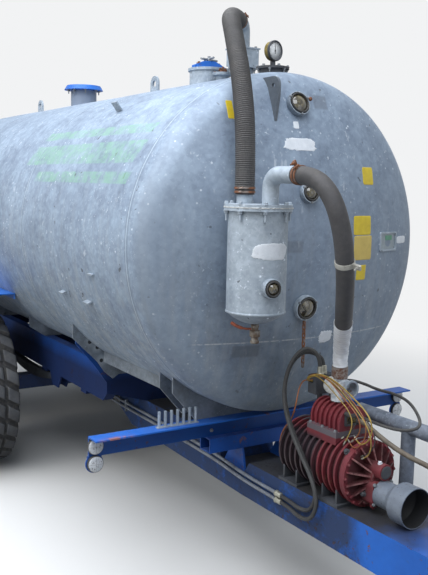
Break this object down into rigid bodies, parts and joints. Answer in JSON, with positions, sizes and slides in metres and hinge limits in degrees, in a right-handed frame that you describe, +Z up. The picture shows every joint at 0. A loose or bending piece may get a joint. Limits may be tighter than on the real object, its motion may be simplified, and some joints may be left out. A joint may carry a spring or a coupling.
{
  "type": "vacuum slurry tanker",
  "caption": "Towed vacuum slurry tanker: galvanised tank on a blue chassis with tandem axles, finned vacuum pump, moisture trap, rear door and parking jack.",
  "frame": {"origin": "on the ground, in the middle of the machine's length and width", "axes": "+X towards the hitch, +Y to the machine's left, +Z up"},
  "size_m": [7.262, 2.45, 3.0959],
  "materials": {
    "tank_galvanised": "hot-dip galvanised steel, dull spangle, streaked and marked",
    "fitting_galvanised": "galvanised fittings, dull, with rust at edges and bolts",
    "chassis_blue": "mid blue paint, chipped at edges, dusty on top faces",
    "dark_blue": "dark blue paint, dirty and matt",
    "fender_light_blue": "pale blue paint, dusty",
    "pump_red": "dull red paint over cast ribs, dusty",
    "dark_cast": "dark grey cast iron",
    "hose_black": "ribbed black rubber hose, dusty",
    "hose_brown": "brown-grey rubber hose, dusty",
    "lead_yellow": "dirty yellow lead",
    "lead_orange": "dirty orange lead",
    "guard_plastic": "light grey plastic guard, scuffed",
    "tyre_rubber": "black tyre rubber with dried mud",
    "rim_paint": "pale painted steel rim, dirty",
    "lens_red": "red lamp lens",
    "lens_clear": "clear lamp lens",
    "glass_dark": "dark brassy sight glass",
    "gauge_face": "white gauge face under clear glass, dark rim",
    "bare_steel": "worn steel with light rust"
  },
  "bodies": {
    "tanker": {"tank_shell": "tank_galvanised", "tank_saddles": "fitting_galvanised", "chassis_frame": "dark_blue", "drawbar": "chassis_blue", "drawbar_eye": "bare_steel", "cross_tube": "chassis_blue", "light_bar": "dark_blue", "front_lamps": "lens_clear", "hose_comb": "chassis_blue", "axles": "dark_blue", "leaf_springs": "dark_cast", "fenders": "fender_light_blue", "pump_body": "pump_red", "pump_end_cover": "pump_red", "pump_manifold": "pump_red", "pump_feet": "fitting_galvanised", "pto_guard": "guard_plastic", "trap_body": "fitting_galvanised", "trap_lid": "fitting_galvanised", "trap_drain": "bare_steel", "air_elbows": "fitting_galvanised", "pump_hose": "hose_black", "riser_hose": "hose_black", "top_valve": "fitting_galvanised", "gauge": "gauge_face", "gauge_mount": "dark_cast", "manhole_neck": "fitting_galvanised", "relief_valve": "chassis_blue", "shell_lugs": "fitting_galvanised", "sight_glass_rings": "fitting_galvanised", "sight_glass_lenses": "glass_dark", "rear_neck": "fitting_galvanised", "outlet_valve": "chassis_blue", "splash_plate": "fitting_galvanised", "rear_light_bar": "chassis_blue", "rear_lamps": "lens_red", "jack_sleeve": "chassis_blue", "exhaust_pipe": "fitting_galvanised", "drawbar_pipes": "chassis_blue", "changeover_box": "dark_cast", "hydraulic_hose_a": "hose_black", "hydraulic_hose_b": "hose_black", "cable_loop": "hose_black", "front_hose": "hose_brown", "lead_yellow": "lead_yellow", "lead_orange": "lead_orange", "hook_chain": "bare_steel"},
    "wheel_front_left": {"tyre_front_left": "tyre_rubber", "rim_front_left": "rim_paint"},
    "wheel_front_right": {"tyre_front_right": "tyre_rubber", "rim_front_right": "rim_paint"},
    "wheel_rear_left": {"tyre_rear_left": "tyre_rubber", "rim_rear_left": "rim_paint"},
    "wheel_rear_right": {"tyre_rear_right": "tyre_rubber", "rim_rear_right": "rim_paint"},
    "jack_leg": {"jack_leg": "bare_steel"},
    "manhole_lid": {"manhole_lid": "bare_steel", "manhole_clamp": "chassis_blue"},
    "rear_door": {"rear_door": "fitting_galvanised"},
    "pto_stub": {"pto_stub": "bare_steel"}
  },
  "joints": [
    {"name": "wheel_front_left_spin", "type": "hinge", "parent": "tanker", "child": "wheel_front_left", "pos_m": [-1.031, 0.96, 0.585], "axis": [0, 1, 0], "continuous": true},
    {"name": "wheel_front_right_spin", "type": "hinge", "parent": "tanker", "child": "wheel_front_right", "pos_m": [-1.031, -0.96, 0.585], "axis": [0, 1, 0], "continuous": true},
    {"name": "wheel_rear_left_spin", "type": "hinge", "parent": "tanker", "child": "wheel_rear_left", "pos_m": [-2.381, 0.96, 0.585], "axis": [0, 1, 0], "continuous": true},
    {"name": "wheel_rear_right_spin", "type": "hinge", "parent": "tanker", "child": "wheel_rear_right", "pos_m": [-2.381, -0.96, 0.585], "axis": [0, 1, 0], "continuous": true},
    {"name": "jack_leg_slide", "type": "slide", "parent": "tanker", "child": "jack_leg", "axis": [0, 0, 1], "range_m": [0, 0.39]},
    {"name": "manhole_lid_hinge", "type": "hinge", "parent": "tanker", "child": "manhole_lid", "pos_m": [0.6984, 0, 2.8363], "axis": [0, -1, 0], "range_deg": [0, 110]},
    {"name": "rear_door_hinge", "type": "hinge", "parent": "tanker", "child": "rear_door", "pos_m": [-3.3682, 0.372, 1.91], "axis": [0, 0, -1], "range_deg": [0, 110]},
    {"name": "pto_stub_spin", "type": "hinge", "parent": "tanker", "child": "pto_stub", "pos_m": [2.4833, -0.035, 0.78], "axis": [1, 0, 0], "continuous": true}
  ]
}
